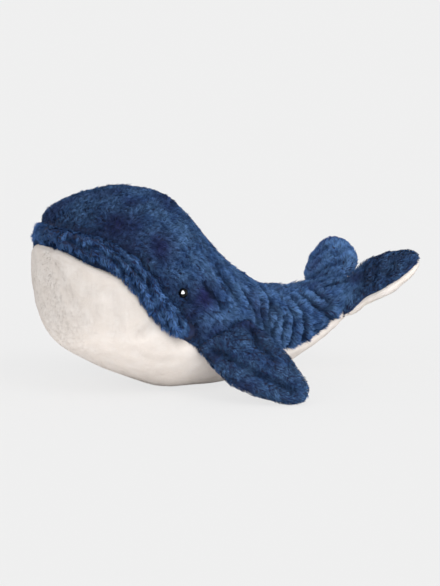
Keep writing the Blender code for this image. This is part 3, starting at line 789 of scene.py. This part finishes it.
# Fur grows from the lip's stitching backwards, swirls a little, drops on the sides, and is thin and
# flat round the eyes
combing = {"lipBlend": 0.008, "eyeShare": 0.40, "swirl": 0.7, "swirlSize": 0.045, "drop": 0.55}
eyeThin = np.clip((eyeGap - eyeForm["furGap"]) / eyeForm["furBlend"], 0, 1)
eyeThin = combing["eyeShare"] + (1 - combing["eyeShare"]) * eyeThin
furShare = np.minimum(
    np.clip(lipGap / combing["lipBlend"], 0, 1), np.where(eyeGap > eyeForm["furGap"], eyeThin, 0)
)
swirl = (readNoise(bodyPoints, combing["swirlSize"], seed=5) * combing["swirl"])[..., None]
drop = combing["drop"] * np.clip(np.abs(bodyNormals[..., 0]), 0, 1)[..., None]
combed = movedNap * np.cos(swirl) + np.cross(movedNormals, movedNap) * np.sin(swirl)
combed = flattened(combed + np.array((0, 0, -1.0)) * drop, movedNormals)

# Painted shade and light on the fur: darker in creases, in the groove and a painted shadow beside the
# lip, and round the eyes; lighter on the swellings beside creases and along the sides than at the
# nose, as the light falls
furTone = {
    "crease": 0.0038, "crumple": 0.6, "creaseLimits": (0.30, 1.55), "groove": 0.35,
    "lip": 0.42, "lipWidth": 0.011, "eye": 0.30, "eyeAt": 0.006, "eyeWidth": 0.010,
    # painted light along the body, from nose to tail: darker at the nose, lighter along the sides
    "paintedLightAlong": ((0.0, 0.16, 0.34, 0.5, 1.0), (0.76, 0.86, 1.10, 1.20, 1.00)),  # from nose to tail
}
creaseShade = 1 + (creases + crumple * furTone["crumple"]) / furTone["crease"]
creaseShade = np.clip(creaseShade, *furTone["creaseLimits"]) * (1 - furTone["groove"] * groove)
lipShadow = np.exp(-(np.maximum(lipGap, 0) / furTone["lipWidth"]) ** 2)
lipShadow = 1 - furTone["lip"] * lipShadow * lipSide
eyeShade = np.exp(-((eyeGap - furTone["eyeAt"]) / furTone["eyeWidth"]) ** 2)
eyeShade = 1 - furTone["eye"] * eyeShade
furShade = creaseShade * np.interp(bodyShare, *furTone["paintedLightAlong"]) * eyeShade * lipShadow

# Patches where the fur lies over and turns a deeper violet: share of the length, turn, radius and
# amount
laidPatches = (
    (0.13, 42, 0.020, 0.9), (0.23, 24, 0.017, 0.9), (0.35, 2, 0.018, 1.0), (0.31, -8, 0.012, 0.7),
    (0.40, -18, 0.020, 0.8), (0.20, 62, 0.012, 0.5), (0.30, 60, 0.014, 0.5),
)
bodyLaid = {"size": 0.040, "seed": 15, "rise": 1.2, "start": 0.15, "most": 0.6}
furLaid = readLaid(bodyPoints, bodyLaid)
for share, turn, radius, amount in laidPatches:
    for _, side in sides:
        middle = surfacePoint(bodyForm, share, turn) * (side, 1, 1)
        gap = np.linalg.norm(bodyPoints - middle, axis=-1)
        furLaid = np.maximum(furLaid, amount * np.exp(-(gap / radius) ** 2))


def panelSheet(columns, **extra):
    sheet = {"points": moved, "normals": movedNormals, "nap": combed, **extra}
    return {key: value[:, columns] for key, value in sheet.items()}


backSheet = panelSheet(
    np.arange(bodyForm["backColumns"] + 1), share=furShare, shade=furShade, laid=furLaid
)
# Painted light on the pale cloth: lighter where it looks down, as if lit from the bright floor,
# darker where it faces out; painted shade in its dents and in the groove beside the lip
bellyPaintedLight = {
    "tone": ((-0.2, 0.25, 0.6), (0.76, 0.83, 1.05)),  # by how far the cloth looks down
    "crease": 0.030, "groove": 0.10, "creaseLimits": (0.8, 1.04), "lipBlend": 0.004,
}
bellyShade = 1 + creases / bellyPaintedLight["crease"] - bellyPaintedLight["groove"] * groove
bellyShade = np.clip(bellyShade, *bellyPaintedLight["creaseLimits"])
bellySheet = panelSheet(
    np.arange(bodyForm["backColumns"], bodyPoints.shape[1] + 1) % bodyPoints.shape[1],
    shade=bellyShade * np.interp(-bodyNormals[..., 2], *bellyPaintedLight["tone"]),
    share=np.clip(lipGap / bellyPaintedLight["lipBlend"], 0, 1),
)


def bendWithTail(piece):
    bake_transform(piece)


backSkin = addPiece(
    "back_skin",
    shellMesh("back_skin", backSheet["points"], backSheet["normals"], bodyForm["clothThickness"]),
    blueBacking,
    ("back_panel", "tail_top", "body_stuffing", "tail_stuffing"),
)
bellySkin = addPiece(
    "belly_skin",
    shellMesh(
        "belly_skin", bellySheet["points"], bellySheet["normals"], bodyForm["clothThickness"],
        shade=bellySheet["shade"],
    ),
    ecruBacking, ("belly_panel", "tail_underside"),
)
# The back's fur is three pieces, from ring to ring, so that none has too many faces
crownEnd, backEnd = (int(bodyPoints.shape[0] * share) for share in (0.5, 0.62))
for label, rings, pile in (
    ("crown_pile", slice(0, crownEnd + 1), {**crownPileForm, "seed": 11}),
    ("back_pile", slice(crownEnd, backEnd + 1), {**bluePileForm, "seed": 12}),
    ("tail_pile", slice(backEnd, None), {**bluePileForm, "seed": 13}),
):
    sheet = {key: values[rings] for key, values in backSheet.items()}
    bendWithTail(growPile(label, sheet, pile, bluePile))
bellyPileForm = {**ecruPileForm, "seed": 23}
bendWithTail(growPile("belly_pile", bellySheet, bellyPileForm, ecruPile))
for skin in (backSkin, bellySkin):
    bendWithTail(skin)
print("stage 3: body skins and pile")

# The lip's nap runs backwards on both sides and hangs down. Below, where the roll meets the pale
# cloth, the fur stands out as a fringe.
lipHang = {"back": 0.7, "down": (0, 0, -0.6), "fringeStand": 0.65, "fringeLength": 0.2}
lipPoints, lipShade = lipGrid(lipForm)
lipNormals, lipNap = gridFrame(lipPoints)
lipCombed = np.sign(lipTurns)[:, None, None] * lipNap * lipHang["back"] + lipHang["down"]
below = np.clip(-lipNormals[..., 2], 0, 1)
closed = np.concatenate([np.arange(lipPoints.shape[1]), [0]])
lipSheet = {key: values[:, closed] for key, values in {
    "points": lipPoints, "normals": lipNormals, "nap": flattened(lipCombed, lipNormals),
    "shade": lipShade, "stand": below * lipHang["fringeStand"],
    "share": 1 + below * lipHang["fringeLength"],
}.items()}
lipSkin = addPiece(
    "lip_skin",
    shellMesh("lip_skin", lipPoints, lipNormals, lipForm["clothThickness"], wrapped=True),
    blueBacking, ("lip_roll", "lip_stuffing"),
)
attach(lipSkin, "torso")
lipPileForm = {
    **bluePileForm, "seed": 31, "length": 0.0056, "lean": 1.15, "tuftYaw": 0.40, "clump": 0.30,
    "lockSize": 0.009, "lockLean": 0.2, "lockSpread": 0.45, "tuftSpread": 0.50, "ruffle": 0.30,
}
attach(growPile("lip_pile", lipSheet, lipPileForm, lipPile), "torso")
print("stage 4: lip roll")


# Limbs: two panels sewn round their edge, the root tucked into the body

flipperForm = {
    "length": 0.112, "halfChord": 0.041, "rootHalfChord": 0.039, "halfThickness": 0.017,
    "knuckle": 0.014, "setback": 0.174, "out": 0.100, "height": 0.0617,
    "droop": 32, "sweep": 24, "pitch": 14, "seamTurn": 0, "backWrap": 0,
    # From the root: shares of the length, of the half chord for the middle's shift backwards,
    # of the half chord and of the half thickness
    "stations": (
        (0.15, -0.04, 0.97, 0.92), (0.38, -0.05, 0.98, 1.00), (0.62, 0.00, 0.81, 0.90),
        (0.84, 0.09, 0.55, 0.66), (0.95, 0.15, 0.32, 0.40), (1.00, 0.17, 0.00, 0.00),
    ),
    # Creases over the upper side: share of the length, way over the chord from front (-1) to back (1)
    "folds": (
        ((0.02, -0.75), (0.25, -0.55), (0.55, -0.45), (0.85, -0.2)),
        ((0.05, 0.75), (0.22, 0.45), (0.45, 0.35)),
    ),
    # shade: painted shade on each side's fur, left then right
    "foldWidth": 0.0060, "foldDepth": 0.0040, "shade": (0.98, 0.98),
}
flukeForm = {
    "length": 0.095, "halfChord": 0.040, "rootHalfChord": 0.034, "halfThickness": 0.0145,
    "knuckle": 0.015, "setback": 0.380, "out": 0.0292, "height": 0.088,
    "turn": 46, "pitch": 45, "seamTurn": 27, "backWrap": 50,
    "stations": (
        (0.21, 0.17, 0.95, 0.85), (0.48, 0.10, 0.93, 1.00), (0.75, 0.03, 0.72, 0.86),
        (0.89, 0.02, 0.50, 0.60), (0.97, 0.02, 0.28, 0.34), (1.00, 0.02, 0.00, 0.00),
    ),
    "folds": (
        ((0.18, -0.7), (0.24, -0.1), (0.20, 0.6)),
        ((0.36, -0.6), (0.42, 0.0), (0.38, 0.6)),
        ((0.58, -0.5), (0.62, 0.1)),
    ),
    # shade: painted light on each side's fur, left then right; the right fluke's is painted much
    # lighter
    "foldWidth": 0.0065, "foldDepth": 0.0024, "shade": (1.00, 1.70),
}
limbDetail = {
    "columns": 52, "ringsPerStation": 9, "knuckleTurns": (90, 60, 30, 0), "pileDepth": 0.0026,
    "clothThickness": 0.001, "seamWidth": 0.0032, "seamDepth": 0.0016, "foldEdge": 3,
    "blendIn": 0.008, "blendOut": 0.022, "lumps": ((0.020, 7, 0.0014), (0.009, 8, 0.0006)),
    "creasePaintedShade": 0.0060, "shadeLimits": (0.45, 1.35),
    "laid": {"size": 0.030, "seed": 16, "rise": 1.3, "start": 0.1, "most": 0.7},
    "fringe": 0.006,  # how far the blue fur hangs over the pale cloth's edge
}
limbCloths = {
    "blue": (blueBacking, bluePile, limbPileForm, "blue_fur_fabric"),
    "ecru": (ecruBacking, ecruPile, ecruPileForm, "ecru_pile_fabric"),
}


def flipperAxes(form, side):
    droop, sweep, pitch = (math.radians(form[key]) for key in ("droop", "sweep", "pitch"))
    level = math.cos(droop)
    span = np.array((level * math.cos(sweep), level * math.sin(sweep), -math.sin(droop)))
    chord = np.array((0, math.cos(pitch), math.sin(pitch)))
    chord = unit(chord - span * (chord @ span))
    top = np.cross(span, chord)
    return [axis * (side, 1, 1) for axis in (span, chord, top)]


def flukeAxes(form, side):
    turn, pitch = math.radians(form["turn"]), math.radians(form["pitch"])
    back = np.array((0, math.cos(pitch), math.sin(pitch)))
    top = np.array((0, -math.sin(pitch), math.cos(pitch)))
    out = np.array((1.0, 0, 0))
    span = out * side * math.sin(turn) + back * math.cos(turn)
    chord = -out * side * math.cos(turn) + back * math.sin(turn)
    return [span, chord, top]


def limbGrid(form, axes, inset):
    # Rings of upper columns then lower columns, from the hidden knuckle out to the tip
    span, chord, top = axes
    rows = []
    knuckle = form["knuckle"] - inset
    for turn in limbDetail["knuckleTurns"]:
        angle = math.radians(turn)
        rows.append((
            -knuckle * math.sin(angle), 0, form["rootHalfChord"] - inset,
            knuckle * math.cos(angle), 0,
        ))
    for along, shift, wide, thick in form["stations"]:
        rows.append((
            along * (form["length"] - inset), shift * form["halfChord"],
            wide * (form["halfChord"] - inset), thick * (form["halfThickness"] - inset),
            math.radians(form["seamTurn"]),
        ))
    last = len(rows) - 1
    placed = curveRows(rows, np.linspace(0, last, last * limbDetail["ringsPerStation"] + 1))
    along, shift, wide, thick, lift = (placed[:, column, None, None] for column in range(5))
    # The seam runs above the front edge by its turn, and the upper cloth laps round the back edge
    share = np.linspace(0, 1, limbDetail["columns"], endpoint=False)[None, :, None]
    wrap = lift * (form["backWrap"] / max(form["seamTurn"], 1))
    turns = np.concatenate([
        -wrap + (math.pi - lift + wrap) * share, math.pi - lift + (math.pi + lift - wrap) * share,
    ], axis=1)
    across, rise = np.cos(turns), np.sin(turns)
    points = (
        form["root"] + span * along + chord * (shift + np.maximum(wide, 0) * across)
        + top * (np.maximum(thick, 0) * rise)
    )
    def overTop(reach, way):
        # A place on the upper side, by the share of the length and the way over the chord
        reach = reach * form["length"]
        middle, half, high = (
            np.interp(reach, placed[:, 0], placed[:, column]) for column in range(1, 4)
        )
        high = high * math.sqrt(max(1 - way ** 2, 0))
        return form["root"] + span * reach + chord * (middle + half * way) + top * high

    return points, [smoothPath([overTop(*step) for step in path]) for path in form["folds"]]


def addLimb(kind, sideName, side, form, axes, panels):
    name = kind + "_" + sideName
    form = {**form, "root": np.array((
        side * form["out"], form["setback"] - bodyForm["noseToOrigin"], form["height"],
    ))}
    points, folds = limbGrid(form, axes, limbDetail["pileDepth"])
    normals, _ = gridFrame(points)
    half = limbDetail["columns"]
    turns = np.linspace(0, math.tau, 2 * half, endpoint=False)
    upper = np.clip(np.sin(turns) * limbDetail["foldEdge"], 0, 1)
    creases = foldRelief(points, folds, form["foldWidth"], form["foldDepth"]) * upper
    seamGap = np.minimum(*(
        np.linalg.norm(points - points[:, [column]], axis=-1) for column in (0, half)
    ))
    dip = np.exp(-(seamGap / limbDetail["seamWidth"]) ** 2) * limbDetail["seamDepth"]
    relief = lumpRelief(points, limbDetail["lumps"]) + creases - dip
    moved = points + normals * relief[..., None]
    moved[..., 2] = np.maximum(moved[..., 2], clothDetail["lowest"])
    normals, nap = gridFrame(moved)
    # Painted shade in the creases and a painted highlight on the swellings beside them; each side's
    # fur then lighter or darker by its own painted light
    shade = np.clip(1 + creases / limbDetail["creasePaintedShade"], *limbDetail["shadeLimits"])
    maps = {
        "points": moved, "normals": normals, "nap": nap,
        "laid": readLaid(points, limbDetail["laid"]),
        "shade": shade * form["shade"][0 if side > 0 else 1],
    }
    for place, (label, cloth, nodes) in enumerate(panels):
        backing, pileLook, pileSizes, slotName = limbCloths[cloth]
        columns = np.arange(place * half, (place + 1) * half + 1) % (2 * half)
        sheet = {key: values[:, columns] for key, values in maps.items()}
        if cloth == "ecru":
            sheet["shade"] = 1.0
            sheet["share"] = np.clip(seamGap[:, columns] / limbDetail["fringe"], 0, 1)
        skinName = name + "_" + label + "_skin"
        mesh = shellMesh(
            skinName, sheet["points"], sheet["normals"], limbDetail["clothThickness"]
        )
        skin = addPiece(
            skinName, mesh, backing, [name + "_" + node for node in nodes]
        )
        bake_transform(skin)
        seed = 60 + side * 3 + place * 10 + len(kind)  # each pile draws its own numbers
        sizes = {**pileSizes, "seed": seed}
        pile = growPile(name + "_" + label + "_pile", sheet, sizes, pileLook)
        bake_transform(pile)


for sideName, side in sides:
    addLimb("flipper", sideName, side, flipperForm, flipperAxes(flipperForm, side), (
        ("upper", "blue", ("upper", "stuffing")), ("lower", "blue", ("lower",)),
    ))
    addLimb("fluke", sideName, side, flukeForm, flukeAxes(flukeForm, side), (
        ("top", "blue", ("top", "stuffing")), ("underside", "ecru", ("underside",)),
    ))
print("stage 5: flippers and flukes")


# Eyes: black safety eyes, moulded acrylic polished so that they hold one sharp light

eyeBlack = mouldedMaterial("polishedAcrylicBlack", {
    "roughness": 0.04, "specular": 0.22, "grainSize": 0.0003, "dark": "020203", "pale": "050507",
})
eyeGroup = bpy.data.collections.new("eyes")
bpy.context.scene.collection.children.link(eyeGroup)


def eyeMesh(name, form, place, side):
    # A turned dome with a narrow flat rim, its foot sunk in the plush
    profile = [(0, -form["recess"]), (form["radius"], -form["recess"]), (form["radius"], 0)]
    for step in range(1, form["domeSteps"] + 1):
        angle = math.pi / 2 * step / form["domeSteps"]
        profile.append((form["radius"] * math.cos(angle), form["rise"] * math.sin(angle)))
    points, faces, count = [], [], len(profile)
    for step in range(form["sides"]):
        angle = math.tau * step / form["sides"]
        for radius, height in profile:
            points.append((
                place.x + side * (height - form["sink"]),
                place.y + radius * math.cos(angle),
                place.z + radius * math.sin(angle),
            ))
        near, after = step * count, (step + 1) % form["sides"] * count
        for row in range(count - 1):
            faces.append((near + row, after + row, after + row + 1, near + row + 1))
    mesh = bpy.data.meshes.new(name)
    mesh.from_pydata(points, [], faces)
    tidyMesh(mesh, 0.01 * millimetre)
    mesh.set_sharp_from_angle(angle=math.radians(form["sharpTurn"]))
    return mesh


for sideName, side in sides:
    name = "eye_" + sideName + "_dome"
    eye = addPiece(
        name, eyeMesh(name, eyeForm, eyePlaces[sideName], side), eyeBlack,
        ("eye_" + sideName,),
    )
    eyeGroup.objects.link(eye)
    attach(eye, "torso")

# Nylon locking washers stay as the frame has them, hidden inside on the eyes' posts
washerNylon = mouldedMaterial("mouldedNylonNatural", {
    "roughness": 0.45, "specular": 0.5, "grainSize": 0.0005, "dark": "D8D2C2", "pale": "E6E1D4",
})
for sideName, _ in sides:
    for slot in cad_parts["eye_washer_" + sideName].material_slots:
        slot.material = washerNylon
print("stage 6: eyes")


# Stage: one pale floor out to the horizon, soft even light, camera at the photograph's angle

studio = {
    "azimuth": 60, "elevation": 8, "distance": 2.5, "frameWidth": 440, "frameHeight": 586,
    "sensorHeight": 36, "clipEnd": 200,
    "metresPerPixel": 0.0011, "headColumn": 126, "headRow": 280, "headHeight": 0.1205,
    "headSetback": 0.101, "background": "EFEFEF", "floorSize": 60, "floorShadow": 0.16,
    "worldStrength": 0.77, "keyAzimuth": 98, "keyElevation": 42, "keyStrength": 0.8, "keyAngle": 30,
    "fillAzimuth": 74, "fillElevation": 4, "fillStrength": 1.40, "fillAngle": 40,
    "frontAzimuth": 12, "frontElevation": 6, "frontStrength": 0.6, "frontAngle": 60,
}


def addCamera(look):
    azimuth, elevation = math.radians(look["azimuth"]), math.radians(look["elevation"])
    toward = Vector((
        math.sin(azimuth) * math.cos(elevation),
        -math.cos(azimuth) * math.cos(elevation),
        math.sin(elevation),
    ))
    right = Vector((math.cos(azimuth), math.sin(azimuth), 0))
    up = toward.cross(right)
    aim = Vector((0, look["headSetback"] - bodyForm["noseToOrigin"], look["headHeight"]))
    aim += right * (look["frameWidth"] / 2 - look["headColumn"]) * look["metresPerPixel"]
    aim += up * (look["headRow"] - look["frameHeight"] / 2) * look["metresPerPixel"]
    lens = bpy.data.cameras.new("camera")
    lens.sensor_fit = "VERTICAL"
    lens.sensor_height = look["sensorHeight"]
    seenHeight = look["frameHeight"] * look["metresPerPixel"]
    lens.lens = look["sensorHeight"] * look["distance"] / seenHeight
    lens.clip_end = look["clipEnd"]
    camera = addObject("camera", lens)
    camera.location = aim + toward * look["distance"]
    camera.rotation_euler = Euler((math.pi / 2 - elevation, 0, azimuth))
    bpy.context.scene.camera = camera


def addSun(name, azimuth, elevation, strength, angle):
    lamp = bpy.data.lights.new(name, "SUN")
    lamp.energy = strength
    lamp.angle = math.radians(angle)
    turn = (math.pi / 2 - math.radians(elevation), 0, math.radians(azimuth))
    addObject(name, lamp).rotation_euler = Euler(turn)


addCamera(studio)
for lamp in ("key", "fill", "front"):
    addSun(lamp, *(studio[lamp + part] for part in ("Azimuth", "Elevation", "Strength", "Angle")))

# A soft box beside each eye, for the eyes alone, gives their catch lights
catchBox = {
    "width": 0.58, "height": 1.80, "energy": 230, "out": 0.42, "forward": 0.14, "rise": -0.05,
}
for sideName, side in sides:
    catchLamp = bpy.data.lights.new("catchLight_" + sideName, "AREA")
    catchLamp.shape = "ELLIPSE"
    catchLamp.size = catchBox["width"]
    catchLamp.size_y = catchBox["height"]
    catchLamp.energy = catchBox["energy"]
    catchLight = addObject(catchLamp.name, catchLamp)
    away = Vector((side * catchBox["out"], -catchBox["forward"], catchBox["rise"]))
    catchLight.location = Vector(eyePlaces[sideName]) + away
    catchLight.rotation_euler = away.to_track_quat("Z", "Y").to_euler()
    catchLight.visible_camera = False
    catchLight.visible_diffuse = False
    catchLight.light_linking.receiver_collection = eyeGroup
    catchLight.light_linking.blocker_collection = eyeGroup


def seenDirectly(tree):
    # 1 where the camera, a gloss or a clear surface looks at this, 0 where it only gives light
    rays = addNode(tree, "ShaderNodeLightPath")
    seen = addNode(tree, "ShaderNodeMath", {
        0: rays.outputs["Is Camera Ray"], 1: rays.outputs["Is Glossy Ray"],
    }, operation="MAXIMUM")
    return addNode(tree, "ShaderNodeMath", {
        0: seen.outputs["Value"], 1: rays.outputs["Is Transmission Ray"],
    }, operation="MAXIMUM").outputs["Value"]


world = bpy.data.worlds.new("studio")
world.use_nodes = True
bpy.context.scene.world = world
worldTree = world.node_tree
worldTree.nodes.clear()
background = hexColour(studio["background"])
lit = addNode(worldTree, "ShaderNodeBackground", {
    "Color": (1, 1, 1, 1), "Strength": studio["worldStrength"],
})
shown = addNode(worldTree, "ShaderNodeBackground", {"Color": background, "Strength": 1.0})
either = addNode(worldTree, "ShaderNodeMixShader", {
    0: seenDirectly(worldTree), 1: lit.outputs["Background"], 2: shown.outputs["Background"],
})
addNode(worldTree, "ShaderNodeOutputWorld", {"Surface": either.outputs["Shader"]})

# The floor is matt paper. As the camera sees it, most of its tone is the plain background's, so
# that the object's shadow stays but is as faint as in the photograph.
floorPaper, floorTree, floorShader = startMaterial("mattPaperFloor", 1.0, specular=0.0)
floorShader.inputs["Base Color"].default_value = background
plain = addNode(floorTree, "ShaderNodeEmission", {"Color": background, "Strength": 1.0})
plainShare = addNode(floorTree, "ShaderNodeMath", {
    0: seenDirectly(floorTree), 1: 1 - studio["floorShadow"],
}, operation="MULTIPLY")
floorLook = addNode(floorTree, "ShaderNodeMixShader", {
    0: plainShare.outputs["Value"], 1: floorShader.outputs["BSDF"], 2: plain.outputs["Emission"],
})
floorOutput = floorTree.nodes["Material Output"]
floorTree.links.new(floorLook.outputs["Shader"], floorOutput.inputs["Surface"])
floorMesh = bpy.data.meshes.new("floor")
reach = studio["floorSize"]
floorCorners = [(-reach, -reach, 0), (reach, -reach, 0), (reach, reach, 0), (-reach, reach, 0)]
floorMesh.from_pydata(floorCorners, [], [(0, 1, 2, 3)])
floorMesh.materials.append(floorPaper)
floor = addObject("floor", floorMesh)
bpy.context.scene.view_settings.view_transform = "Standard"
print("stage 7: studio")
